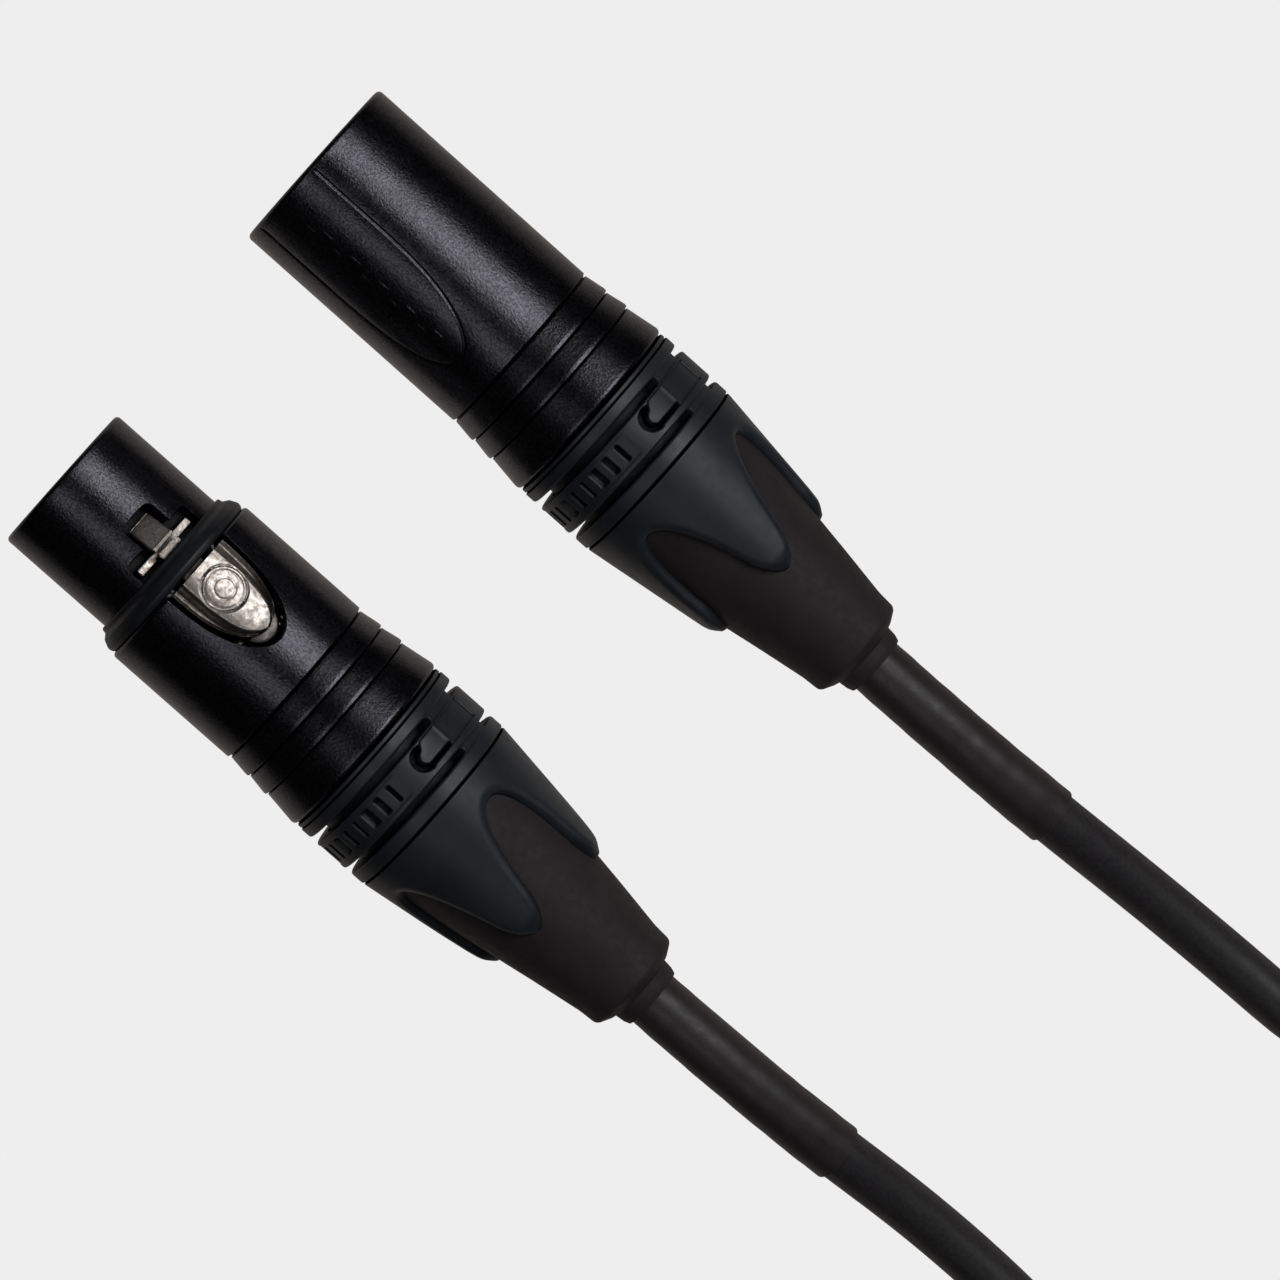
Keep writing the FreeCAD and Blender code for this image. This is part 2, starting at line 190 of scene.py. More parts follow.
def painted_recess_shade(material, reach, strength, sheen=None):
    """Painted shade: darkens the base colour, and the sheen where one is given, where nearby surfaces close
    it in.
    """
    tree = material.node_tree
    sockets = tree.nodes["Principled BSDF"].inputs
    source = sockets["Base Color"].links[0].from_socket
    shelter = tree.nodes.new("ShaderNodeAmbientOcclusion")
    shelter.inputs["Distance"].default_value = reach
    shelter.samples = 8
    gamma = tree.nodes.new("ShaderNodeGamma")
    gamma.inputs["Gamma"].default_value = strength
    mix = tree.nodes.new("ShaderNodeMixRGB")
    mix.blend_type = "MULTIPLY"
    mix.inputs["Fac"].default_value = 1.0
    tree.links.new(shelter.outputs["Color"], gamma.inputs["Color"])
    tree.links.new(source, mix.inputs["Color1"])
    tree.links.new(gamma.outputs["Color"], mix.inputs["Color2"])
    tree.links.new(mix.outputs["Color"], sockets["Base Color"])
    if sheen is not None:
        result = ramp(material, shelter.outputs["AO"], 0.0, sheen, 0.45, 1.0)
        tree.links.new(result, sockets["Specular IOR Level"])


def bumps(material, layers):
    """Chains bump nodes: each layer is (value, strength, distance in metres)."""
    tree = material.node_tree
    normal = None
    for value, strength, distance in layers:
        node = tree.nodes.new("ShaderNodeBump")
        node.inputs["Strength"].default_value = strength
        node.inputs["Distance"].default_value = distance
        tree.links.new(value, node.inputs["Height"])
        if normal is not None:
            tree.links.new(normal, node.inputs["Normal"])
        normal = node.outputs["Normal"]
    tree.links.new(normal, tree.nodes["Principled BSDF"].inputs["Normal"])


def housing_black():
    """Black grained satin coat on metal: a coarse sparkle in a faintly violet sheen."""
    m = new_material("housing_black", (0.002, 0.002, 0.0028), 0.3, Specular_Tint=(0.9, 0.87, 1.0, 1.0))
    grain = noise(m, 4200, 3.0, roughness=0.6)
    rough(m, noise(m, 420, 4.0), 0.24, 0.3)
    tint(m, grain, (0.0006, 0.0006, 0.001), (0.0065, 0.006, 0.0085), 0.42, 0.68)
    sparkle(m, grain, 0.45, 1.0, 0.38, 0.62)
    bumps(m, [(grain, 0.42, 0.00007), (noise(m, 1400, 3.0), 0.1, 0.00005)])
    return m


def petal_plastic():
    """Blue-black moulded plastic with a fine spark-eroded texture."""
    m = new_material("petal_plastic", (0.027, 0.033, 0.042), 0.44)
    tint(m, noise(m, 180, 3.0), (0.023, 0.028, 0.036), (0.032, 0.039, 0.049))
    # painted shade: darkens the slots, the pockets and the notch by the tongue, and dims their sheen
    painted_recess_shade(m, 0.0009, 1.8, sheen=0.5)
    rough(m, noise(m, 900, 3.0), 0.4, 0.48)
    bumps(m, [(noise(m, 6500, 2.0), 0.14, 0.00003), (noise(m, 700, 3.0), 0.08, 0.00005)])
    return m


def boot_rubber():
    """Brown-black matt elastomer."""
    m = new_material("boot_rubber", (0.038, 0.031, 0.034), 0.66, Specular_IOR_Level=0.4)
    tint(m, noise(m, 320, 4.0), (0.034, 0.028, 0.03), (0.044, 0.036, 0.039))
    rough(m, noise(m, 1200, 3.0), 0.6, 0.72)
    bumps(m, [(noise(m, 5200, 3.0), 0.3, 0.00004), (noise(m, 500, 3.0), 0.1, 0.00006)])
    return m


def heat_shrink():
    """Brown-black shrink tube with faint lengthwise streaks."""
    m = new_material("heat_shrink", (0.04, 0.034, 0.035), 0.46)
    streaks = noise(m, 900, 3.0, stretch=(0.12, 1, 1))
    tint(m, streaks, (0.036, 0.03, 0.031), (0.048, 0.04, 0.042))
    rough(m, noise(m, 1500, 3.0), 0.4, 0.5)
    bumps(m, [(streaks, 0.12, 0.00006), (noise(m, 4200, 2.0), 0.12, 0.00003)])
    return m


def cable_jacket():
    """Black flexible jacket, matt, with dusty flecks."""
    m = new_material("cable_jacket", (0.034, 0.03, 0.034), 0.5)
    tint(m, noise(m, 2600, 2.0), (0.029, 0.026, 0.03), (0.046, 0.041, 0.045), 0.4, 0.75)
    rough(m, noise(m, 700, 3.0), 0.44, 0.55)
    bumps(m, [(noise(m, 3800, 3.0), 0.16, 0.00004), (noise(m, 260, 2.0), 0.08, 0.0001)])
    return m


def ring_rubber():
    """Smooth black rubber, a little glossier than the boots."""
    m = new_material("ring_rubber", (0.016, 0.018, 0.022), 0.45)
    tint(m, noise(m, 500, 3.0), (0.013, 0.015, 0.018), (0.02, 0.0225, 0.027))
    rough(m, noise(m, 900, 3.0), 0.4, 0.5)
    bumps(m, [(noise(m, 3200, 2.0), 0.12, 0.00004)])
    return m


def latch_nickel():
    """Nickel plate, worn soft: cloudy, brownish and scratched, with painted shade darkening it where it lies
    deep.
    """
    m = new_material("latch_nickel", (0.5, 0.45, 0.41), 0.3, Metallic=1.0)
    clouds = noise(m, 1900, 6.0, roughness=0.68)
    tint(m, clouds, (0.25, 0.21, 0.18), (0.57, 0.53, 0.5), 0.32, 0.64)
    # painted shade on the hook, ears and tab where they lie in the window and under the ring
    painted_recess_shade(m, 0.0014, 2.2)
    rough(m, clouds, 0.44, 0.26)
    scratches = noise(m, 2600, 2.0, stretch=(0.15, 1, 1))
    bumps(m, [(clouds, 0.4, 0.00007), (scratches, 0.15, 0.00002)])
    return m


def bare_steel():
    m = new_material("bare_steel", (0.6, 0.58, 0.55), 0.28, Metallic=1.0)
    turning = noise(m, 2400, 2.0, stretch=(1, 0.2, 1))
    rough(m, turning, 0.22, 0.38)
    bumps(m, [(turning, 0.15, 0.00002)])
    return m


def contact_silver():
    m = new_material("contact_silver", (0.78, 0.76, 0.72), 0.2, Metallic=1.0)
    rough(m, noise(m, 1800, 3.0), 0.14, 0.3)
    bumps(m, [(noise(m, 3000, 2.0), 0.08, 0.00002)])
    return m


def carrier_plastic():
    m = new_material("contact_carrier", (0.004, 0.004, 0.0045), 0.6, Specular_IOR_Level=0.25)
    tint(m, noise(m, 300, 3.0), (0.0034, 0.0034, 0.0038), (0.005, 0.005, 0.0056))
    rough(m, noise(m, 800, 3.0), 0.54, 0.68)
    bumps(m, [(noise(m, 4200, 2.0), 0.2, 0.00003)])
    return m


def wire_skin(name, colour):
    m = new_material(name, colour, 0.4)
    rough(m, noise(m, 900, 3.0), 0.34, 0.5)
    bumps(m, [(noise(m, 2000, 2.0), 0.1, 0.00003)])
    return m


def tie_fabric():
    """Hook-and-loop strap: a looped pile over a ribbed weave."""
    m = new_material("tie_fabric", (0.014, 0.014, 0.016), 0.85, Sheen_Weight=0.5)
    pile = noise(m, 2400, 4.0, roughness=0.7)
    ribs = noise(m, 900, 2.0, stretch=(1, 0.1, 1))
    tint(m, pile, (0.006, 0.006, 0.007), (0.028, 0.028, 0.031), 0.3, 0.7)
    bumps(m, [(ribs, 0.4, 0.0002), (pile, 0.8, 0.0002)])
    return m


MATERIALS = {
    "housing_black": housing_black(),
    "petal_plastic": petal_plastic(),
    "boot_rubber": boot_rubber(),
    "heat_shrink": heat_shrink(),
    "cable_jacket": cable_jacket(),
    "ring_rubber": ring_rubber(),
    "latch_nickel": latch_nickel(),
    "pin_steel": bare_steel(),
    "contact_silver": contact_silver(),
    "contact_carrier": carrier_plastic(),
    "chuck_plastic": wire_skin("chuck_plastic", (0.03, 0.03, 0.032)),
    "wire_red": wire_skin("wire_red", (0.35, 0.02, 0.02)),
    "wire_white": wire_skin("wire_white", (0.6, 0.6, 0.57)),
    "wire_black": wire_skin("wire_black", (0.015, 0.015, 0.015)),
    "tie_fabric": tie_fabric(),
}
MATERIALS["spring_steel"] = MATERIALS["pin_steel"]


# ---- mesh helpers --------------------------------------------------------------------------------
SMOOTH_LIMIT = math.radians(38)


def finish_piece(obj, slot, body, replaced=()):
    """Material, smooth shading with sharp corners, the body it rides on and the CAD nodes it stands for."""
    if obj.type == "MESH":
        obj.data.polygons.foreach_set("use_smooth", [True] * len(obj.data.polygons))
        if "sharp_edge" not in obj.data.attributes:
            obj.data.set_sharp_from_angle(angle=SMOOTH_LIMIT)
    obj.data.materials.clear()
    obj.data.materials.append(MATERIALS[slot])
    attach(obj, body)
    if replaced:
        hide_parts(*replaced)
    return obj


def mesh_object(name, vertices, faces):
    mesh = bpy.data.meshes.new(name)
    mesh.from_pydata([tuple(v) for v in vertices], [], faces)
    work = bmesh.new()
    work.from_mesh(mesh)
    bmesh.ops.recalc_face_normals(work, faces=work.faces)
    work.to_mesh(mesh)
    work.free()
    obj = bpy.data.objects.new(name, mesh)
    bpy.context.scene.collection.objects.link(obj)
    return obj


def rounded(corners, arc_step=math.radians(14)):
    """A closed outline with tangent arcs at the corners that state a radius."""
    out = []
    spots = [(c[0], c[1], c[2] if len(c) > 2 else 0.0) for c in corners]
    for i, (a, b, radius) in enumerate(spots):
        here = np.array([a, b])
        if radius == 0.0:
            out.append(here)
            continue
        into = np.array(spots[i - 1][:2]) - here
        onward = np.array(spots[(i + 1) % len(spots)][:2]) - here
        into = into / np.linalg.norm(into)
        onward = onward / np.linalg.norm(onward)
        half = math.acos(np.clip(into @ onward, -1, 1)) / 2
        bisector = (into + onward) / np.linalg.norm(into + onward)
        centre = here + bisector * radius / math.sin(half)
        start = here + into * radius / math.tan(half) - centre
        end = here + onward * radius / math.tan(half) - centre
        swing = math.pi - 2 * half
        count = max(2, math.ceil(swing / arc_step))
        for k in range(count + 1):
            share = k / count
            spot = start * math.sin((1 - share) * swing) + end * math.sin(share * swing)
            out.append(centre + spot / math.sin(swing))
    return np.array(out)


def refined(outline, step, above):
    """Splits the outline's runs longer than step where both ends lie above a radius."""
    out = []
    for a, b in zip(outline, np.roll(outline, -1, axis=0)):
        count = 1
        if min(a[1], b[1]) > above:
            count = max(1, math.ceil(np.linalg.norm(b - a) / step))
        for k in range(count):
            out.append(a + (b - a) * k / count)
    return np.array(out)


def mark_corners(mesh, outline, segments):
    """Sharp edges only where the turned outline itself has a corner."""
    into = outline - np.roll(outline, 1, axis=0)
    onward = np.roll(outline, -1, axis=0) - outline
    turn = np.arctan2(into[:, 0] * onward[:, 1] - into[:, 1] * onward[:, 0], (into * onward).sum(axis=1))
    corner = np.abs(turn) > SMOOTH_LIMIT
    ends = np.zeros(len(mesh.edges) * 2, dtype=np.int32)
    mesh.edges.foreach_get("vertices", ends)
    row = ends.reshape(-1, 2) // segments
    sharp = (row[:, 0] == row[:, 1]) & corner[row[:, 0]]
    attribute = mesh.attributes.new("sharp_edge", "BOOLEAN", "EDGE")
    attribute.data.foreach_set("value", sharp)


def lathe(name, seat, corners, shift=0.0, segments=192, relief=None, step=0.16, above=0.0, fine=None):
    """A closed turned skin. relief(x, r, phi) moves the points above a radius outwards.

    fine gives the angles (from, to, step) of a sector that is divided more closely.
    """
    outline = rounded(corners)
    if relief is not None:
        outline = refined(outline, step, above)
    phi = np.linspace(-math.pi, math.pi, segments, endpoint=False)
    if fine is not None:
        inside = (phi > fine[0]) & (phi < fine[1])
        phi = np.sort(np.concatenate([phi[~inside], np.arange(fine[0], fine[1], fine[2])]))
        segments = len(phi)
    x = np.repeat(outline[:, :1], segments, axis=1)
    r = np.repeat(outline[:, 1:], segments, axis=1)
    angle = np.repeat(phi[None, :], len(outline), axis=0)
    if relief is not None:
        r = np.where(r > above, r + relief(x, r, angle), r)
    points = seat.world(x + shift, r, angle).reshape(-1, 3)
    rows = len(outline)
    faces = []
    for i in range(rows):
        j = (i + 1) % rows
        for k in range(segments):
            n = (k + 1) % segments
            faces.append((i * segments + k, i * segments + n, j * segments + n, j * segments + k))
    skin = mesh_object(name, points, faces)
    mark_corners(skin.data, outline, segments)
    return skin


def wrap(angle):
    return (angle + math.pi) % (2 * math.pi) - math.pi


def ease(value, low, high):
    """0 below low, 1 above high, smooth between."""
    share = np.clip((value - low) / (high - low), 0, 1)
    return share * share * (3 - 2 * share)


def box_distance(a, b, centre, half, radius=0.0):
    """Signed distance to a rounded rectangle."""
    qa = np.abs(a - centre[0]) - half[0] + radius
    qb = np.abs(b - centre[1]) - half[1] + radius
    outside = np.hypot(np.maximum(qa, 0), np.maximum(qb, 0))
    return outside + np.minimum(np.maximum(qa, qb), 0) - radius


def cut_with(obj, cutter):
    """Cuts one mesh from another for good."""
    modifier = obj.modifiers.new("cut", "BOOLEAN")
    modifier.operation = "DIFFERENCE"
    modifier.solver = "EXACT"
    modifier.object = cutter
    bpy.context.view_layer.update()
    graph = bpy.context.evaluated_depsgraph_get()
    mesh = bpy.data.meshes.new_from_object(obj.evaluated_get(graph))
    obj.modifiers.clear()
    old = obj.data
    obj.data = mesh
    bpy.data.meshes.remove(old)
    bpy.data.objects.remove(cutter)


# ---- housings ------------------------------------------------------------------------------------
def grip_corners(shift):
    """Three saw-tooth steps that level off at their ends, and the rounded rear edge, down to the bore."""
    corners = []
    for start, low, end, high in GRIP_STEPS:
        corners += [(start - 0.12 + shift, low - 0.3), (start + shift, low, 0.04)]
        corners += [(end - 0.32 + shift, high, 0.9), (end + shift, high, 0.05)]
    corners[-2:] = [(HOUSING_END - 0.6 + shift, WIDEST_R, 0.9), (HOUSING_END + shift, WIDEST_R, 0.45)]
    return corners + [(HOUSING_END + shift, BORE_R + 0.25), (HOUSING_END - 0.25 + shift, BORE_R)]


PANEL_HALF = 4.55
PANEL_STRAIGHT = 9.0
PANEL_END = 22.9
OUTLINE_SPOTS = 90


def panel_half_width(x):
    """Half the label panel's width along the shell: straight, then rounding to its tip."""
    share = np.clip((x - PANEL_STRAIGHT) / (PANEL_END - PANEL_STRAIGHT), 0, 1)
    return PANEL_HALF * np.power(np.clip(1 - share ** 2.5, 0, 1), 0.52)


def outline_distance(x, s, half_width, start, end):
    """Signed distance from an outline given by its half width along the part, negative inside.

    Its spots lie closer together towards both ends, where the outline is steep.
    """
    spots = start + (end - start) * (1 - np.cos(np.linspace(0, math.pi, OUTLINE_SPOTS))) / 2
    outline = list(zip(spots, half_width(spots)))
    nearest = np.full_like(x, math.inf)
    for (xa, sa), (xb, sb) in zip(outline, outline[1:]):
        along, across = xb - xa, sb - sa
        share = ((x - xa) * along + (np.abs(s) - sa) * across) / (along ** 2 + across ** 2)
        share = np.clip(share, 0, 1)
        reach = np.hypot(x - xa - share * along, np.abs(s) - sa - share * across)
        nearest = np.minimum(nearest, reach)
    return np.where((x < end) & (np.abs(s) <= half_width(x)), -nearest, nearest)


def male_shell_relief(x, r, phi):
    """The label panel: a soft valley on both sides of a fine line, and a row of plain raised dashes."""
    s = BODY_R * wrap(phi - PANEL_TURN)
    d = outline_distance(x, s, panel_half_width, -3.0, PANEL_END)
    valley = -0.13 * np.exp(-np.abs(d) / 1.5) - 0.13 * np.exp(-(d / 0.1) ** 2)
    fade = ease(x, 0.25, 1.0) * (1 - ease(x, 23.4, 26.4))
    dashes = np.zeros_like(x)
    for k in range(10):
        bar = box_distance(x, s, (4.0 + 1.75 * k, -0.2 + 0.7 * (k % 2)), (0.5, 0.05), 0.05)
        dashes = np.maximum(dashes, 1 - ease(bar, -0.02, 0.12))
    return valley * fade + 0.035 * dashes


def male_housing():
    corners = [(0, MOUTH_R + 0.35), (0, BODY_R, 0.5), (26.5, BODY_R, 0.06)] + grip_corners(0.0)
    corners += [(13.5, BORE_R), (13.5, MOUTH_R), (0.35, MOUTH_R)]
    fine = (PANEL_TURN - 0.62, PANEL_TURN + 0.62, 0.0085)
    shell = lathe("male_housing_shell", MALE, corners, segments=256, relief=male_shell_relief, step=0.11,
                  above=9.0, fine=fine)
    finish_piece(shell, "housing_black", "root", ["male_housing"])


RECESS_HALF = 4.2
RECESS_START = 15.05
RECESS_END = 25.7


def recess_half_width(x):
    share = np.clip((x - RECESS_START) / (RECESS_END - RECESS_START), 0, 1)
    return RECESS_HALF * np.power(np.clip(1 - share ** 2.6, 0, 1), 0.52)


def prism(name, outline, levels):
    """A prism over an (x, s) outline at the latch's angle; levels are (heights, outward growth)."""
    count = len(outline)
    along = np.roll(outline, -1, axis=0) - np.roll(outline, 1, axis=0)
    normal = np.stack([along[:, 1], -along[:, 0]], axis=1)
    normal /= np.maximum(np.linalg.norm(normal, axis=1), 1e-9)[:, None]
    outward = np.sign((normal * (outline - outline.mean(axis=0))).sum())
    up = np.array([0, math.sin(LATCH_TURN), math.cos(LATCH_TURN)])
    side = np.array([0, math.cos(LATCH_TURN), -math.sin(LATCH_TURN)])
    origin = np.array([FEMALE.front, FEMALE.y, FEMALE.z])
    points = []
    for heights, grow in levels:
        grown = outline + grow * outward * normal
        for (a, b), height in zip(grown, np.broadcast_to(heights, count)):
            points.append((origin + np.array([a, 0, 0]) + side * b + up * height) * MM)
    last = len(levels) - 1
    faces = [tuple(range(count)), tuple(reversed(range(last * count, (last + 1) * count)))]
    for level in range(last):
        for k in range(count):
            n = (k + 1) % count
            base = level * count
            faces.append((base + k, base + count + k, base + count + n, base + n))
    return mesh_object(name, points, faces)


def cutter_from(name, outline, low, high, flare, radius):
    """A prism that widens by flare at the shell's surface, for a softened rim."""
    surface = np.sqrt(np.maximum(radius ** 2 - outline[:, 1] ** 2, 0))
    return prism(name, outline, [(low, 0.0), (surface - flare, 0.0), (surface + 0.1, flare + 0.1),
                                 (high, flare + 0.1)])


def true_rounds(obj, seat, spans):
    """Gives the turned runs (from, to, radius) of a cut shell the normals of a true round."""
    mesh = obj.data
    count = len(mesh.loops)
    corner = np.zeros(count * 3)
    mesh.corner_normals.foreach_get("vector", corner)
    corner = corner.reshape(-1, 3)
    vertex = np.zeros(count, dtype=np.int32)
    mesh.loops.foreach_get("vertex_index", vertex)
    spots = np.zeros(len(mesh.vertices) * 3)
    mesh.vertices.foreach_get("co", spots)
    spots = spots.reshape(-1, 3)[vertex] / MM
    across = spots[:, 1:] - np.array([seat.y, seat.z])
    radius = np.linalg.norm(across, axis=1)
    radial = np.concatenate([np.zeros((count, 1)), across / radius[:, None]], axis=1)
    facing = np.zeros(len(mesh.polygons) * 3)
    mesh.polygons.foreach_get("normal", facing)
    sides = np.zeros(len(mesh.polygons), dtype=np.int32)
    mesh.polygons.foreach_get("loop_total", sides)
    outward = (np.repeat(facing.reshape(-1, 3), sides, axis=0) * radial).sum(axis=1) > 0.97
    x = spots[:, 0] - seat.front
    for start, end, size in spans:
        chosen = outward & (x > start - 0.01) & (x < end + 0.01) & (np.abs(radius - size) < 0.03)
        corner[chosen] = radial[chosen]
    mesh.normals_split_custom_set([tuple(n) for n in corner])


def mirror_outline(side):
    """Closes half an outline (x, half width) by its mirror image."""
    upper = np.array(side, float)
    lower = upper[::-1] * np.array([1, -1])
    return np.vstack([upper, lower])


def female_housing():
    corners = [(0, 7.45), (0, NOSE_R, 0.45), (NOSE_LENGTH, NOSE_R), (NOSE_LENGTH, RING_SEAT_R)]
    corners += [(15.0, RING_SEAT_R), (15.0, FEMALE_BODY_R, 0.45), (29.8, FEMALE_BODY_R, 0.06)]
    corners += grip_corners(FEMALE.rear_shift)
    corners += [(16.2, BORE_R), (16.2, FEMALE_BORE_R), (0.2, FEMALE_BORE_R)]
    shell = lathe("female_housing_shell", FEMALE, corners, segments=288, relief=no_relief,
                  step=0.6, above=7.9)
    window = rounded([(7.6, -1.95, 0.8), (10.4, -1.95), (10.4, -4.2, 0.35), (13.4, -4.2), (13.4, 4.2),
                      (10.4, 4.2, 0.35), (10.4, 1.95), (7.6, 1.95, 0.8)])
    cut_with(shell, cutter_from("window_cutter", window, 5.0, 11.0, 0.07, NOSE_R))
    xs = np.linspace(0, 1, 40) ** 0.6
    xs = RECESS_START + 0.05 + (RECESS_END - RECESS_START - 0.05) * xs
    widths = recess_half_width(xs)
    side = [(14.0, RECESS_HALF)] + list(zip(xs[:-1], widths[:-1])) + [(RECESS_END, 0.001)]
    cut_with(shell, cutter_from("recess_cutter", mirror_outline(side), 7.0, 12.0, 0.15, FEMALE_BODY_R))
    finish_piece(shell, "housing_black", "root", ["female_housing"])
    true_rounds(shell, FEMALE, [(0.5, 12.5, NOSE_R), (15.5, 29.0, FEMALE_BODY_R)])


def no_relief(x, r, phi):
    """Leaves the shell turned true; with it the long runs are still divided for the cuts."""
    return np.zeros_like(x)


def rubber_ring():
    corners = [(NOSE_LENGTH, RING_SEAT_R), (NOSE_LENGTH, 8.4, 0.2), (13.1, 8.5, 0.3), (13.5, 9.05, 0.3),
               (14.35, 9.45, 0.5), (15.0, 9.25, 0.35), (15.0, RING_SEAT_R)]
    ring = lathe("female_rubber_collar", FEMALE, corners, segments=192)
    finish_piece(ring, "ring_rubber", "root", ["female_rubber_ring"])


# ---- strain relief -------------------------------------------------------------------------------
BOOT_SLOPE = 0.158
VALLEY_START = 47.5
PETAL_TIP = 59.7
PETAL_ROUNDING = 56.3
PETAL_GIRTH_R = 8.9


def boot_radius(x):
    return 7.08 + (59.0 - x) * BOOT_SLOPE


def petal_half_width(x):
    """Half a petal's width along the surface: a quarter of the girth less the valley beside it."""
    share = np.clip((x - VALLEY_START) / (PETAL_TIP - VALLEY_START), 0, 1)
    valley = 5.0 * np.power(share, 0.45)
    past = np.maximum(x - PETAL_ROUNDING, 0) / (PETAL_TIP - PETAL_ROUNDING)
    return (PETAL_GIRTH_R * math.pi / 4 - valley) * np.sqrt(np.clip(1 - past ** 2, 0, 1))


BOSS_X = 40.3
BOSS_S = 3.6
BOSS_R = 0.9
PLATE_END = 11.7
BRIDGE_START = 6.75
SLOTS = (38.18, 42.57)
SLOT_HALF = 0.36


def plate_distance(x, s):
    """Signed distance to the tongue in the coding ring: a round end that widens forwards into a plate."""
    spread = 1 + 1.1 * ease(s, BOSS_S - 0.2, BOSS_S + 0.8)
    aside = np.where(x < BOSS_X, (x - BOSS_X) / spread, x - BOSS_X)
    return np.hypot(aside, np.maximum(BOSS_S - s, 0)) - BOSS_R


def bridge_start(x):
    """Where the bridge between the slots begins: it rounds each slot's end."""
    start = np.full_like(x, BRIDGE_START - SLOT_HALF)
    for middle in SLOTS:
        start += np.sqrt(np.maximum(SLOT_HALF ** 2 - (x - middle) ** 2, 0))
    return start


def bushing_relief(turn):
    """Four petals with valleys between them, and the bridge and tongue that stand in the neck."""
    def relief(x, r, phi):
        aside = PETAL_GIRTH_R * (wrap((phi - turn) * 4) / 4)
        petal_r = 10.17 - (x - 44.8) * 0.136
        d = outline_distance(x, aside, petal_half_width, VALLEY_START, PETAL_TIP)
        drop = (petal_r - boot_radius(x) + 0.4) * ease(d, -0.15, 0.35) + 0.22 * ease(d, -1.1, 0.0) ** 2
        drop += 0.35 * ease(x, 57.6, 59.6) ** 2
        petals = np.where(x > 44.9, -drop, 0)
        s = WIDEST_R * phi
        into = s - bridge_start(x)
        bridge = ease(into, -0.05, 0.12) * (1 - ease(s, PLATE_END, PLATE_END + 0.3))
        neck = (x > 37.7) & (x < 43.0)
        tongue = (1 - ease(plate_distance(x, s), -0.2, 0.0)) * (s < PLATE_END) * (x > 38.55)
        rim = 0.07 * np.exp(-((into - 0.2) / 0.2) ** 2)
        raised = np.where(neck, np.maximum(10.1 + rim - r, 0) * np.maximum(bridge, tongue), 0)
        return petals + raised
    return relief


def bushing(seat):
    corners = [
        (30.0, 6.75), (30.0, 8.2, 0.3), (36.0, 8.2), (36.0, 10.1, 0.12), (36.4, 10.1, 0.05),
        (36.42, 9.8), (36.58, 9.8), (36.6, 10.2, 0.06), (37.75, 10.2, 0.25),
        (37.8, 8.3), (42.9, 8.3), (42.95, 10.2, 0.28), (44.42, 10.2, 0.1), (44.5, 9.4), (44.62, 9.4),
        (44.7, 10.15, 0.08), (60.2, 8.07), (60.2, 6.3), (44.8, 8.8), (44.2, 6.9), (44.0, 5.4),
        (43.3, 5.3), (37.6, 6.75),
    ]
    relief = bushing_relief(PETAL_TURN[seat.side])
    skin = lathe(seat.side + "_bushing_skin", seat, corners, seat.rear_shift, 480, relief, 0.11, 8.05)
    finish_piece(skin, "petal_plastic", seat.nut, [seat.side + "_bushing"])


def boot(seat):
    bore = SLEEVE_R + 0.15
    corners = [
        (45.2, bore), (45.2, boot_radius(45.2)), (60.0, boot_radius(60.0)), (68.6, boot_radius(68.6), 4.0),
        (70.6, 5.44, 0.7), (71.3, 4.2, 0.4), (71.5, 3.6, 0.12), (72.5, 3.5, 0.25), (NIB_END, 3.3, 0.08),
        (NIB_END, bore),
    ]

    def relief(x, r, phi):
        """A hand-moulded waver so that the cone isn't a perfect lathe part."""
        slow = np.sin(3 * phi + x * 0.35) + 0.6 * np.sin(5 * phi - x * 0.5)
        return 0.012 * slow * ease(x, 60.0, 63.0) * (1 - ease(x, 70.0, 71.5))

    skin = lathe(seat.side + "_boot_skin", seat, corners, seat.rear_shift, 192, relief, 0.5, 3.6)
    finish_piece(skin, "boot_rubber", seat.nut, [seat.side + "_boot"])


def coding_relief(x, r, phi):
    """The round notch round the tongue, the gap beside it, and a row of plain pockets."""
    s = WIDEST_R * phi
    notch = np.hypot(x - BOSS_X + 0.1, s - BOSS_S + 0.35) - 1.27
    gap = 0.2 - 0.45 * (1 - ease(x, BOSS_X - 0.3, BOSS_X))
    tongue = np.maximum(plate_distance(x, s) - gap, s - PLATE_END)
    depth = (1 - ease(np.minimum(notch, tongue), -0.08, 0.08)) * (r - 8.75)
    band = 1 - ease(box_distance(x, s, (BOSS_X, -11.5), (1.3, 11.6), 0.2), -0.06, 0.1)
    pockets = np.zeros_like(x)
    for k in range(12):
        pocket = box_distance(x, s, (BOSS_X, -1.2 - 1.75 * k), (0.95, 0.16 + 0.14 * (k % 3)), 0.12)
        pockets = np.maximum(pockets, 1 - ease(pocket, -0.06, 0.08))
    return -np.maximum(depth, (0.07 * band + 0.55 * pockets) * (r > 9.7))


def coding_ring(seat):
    corners = [(38.6, 8.68), (38.6, 10.24, 0.2), (42.2, 10.24, 0.2), (42.2, 8.68)]
    skin = lathe(seat.side + "_coding_band", seat, corners, seat.rear_shift, 560, coding_relief, 0.1, 9.0)
    finish_piece(skin, "petal_plastic", seat.nut, [seat.side + "_coding_ring"])


# ---- latch ---------------------------------------------------------------------------------------
TAB_START = 15.42
TAB_END = 24.3
DISC_X = 18.6
DISC_R = 2.25


def tab_half_width(x):
    share = np.clip((x - TAB_START) / (TAB_END - TAB_START), 0, 1)
    return 3.9 * np.power(np.clip(1 - share ** 2.9, 0, 1), 0.55)


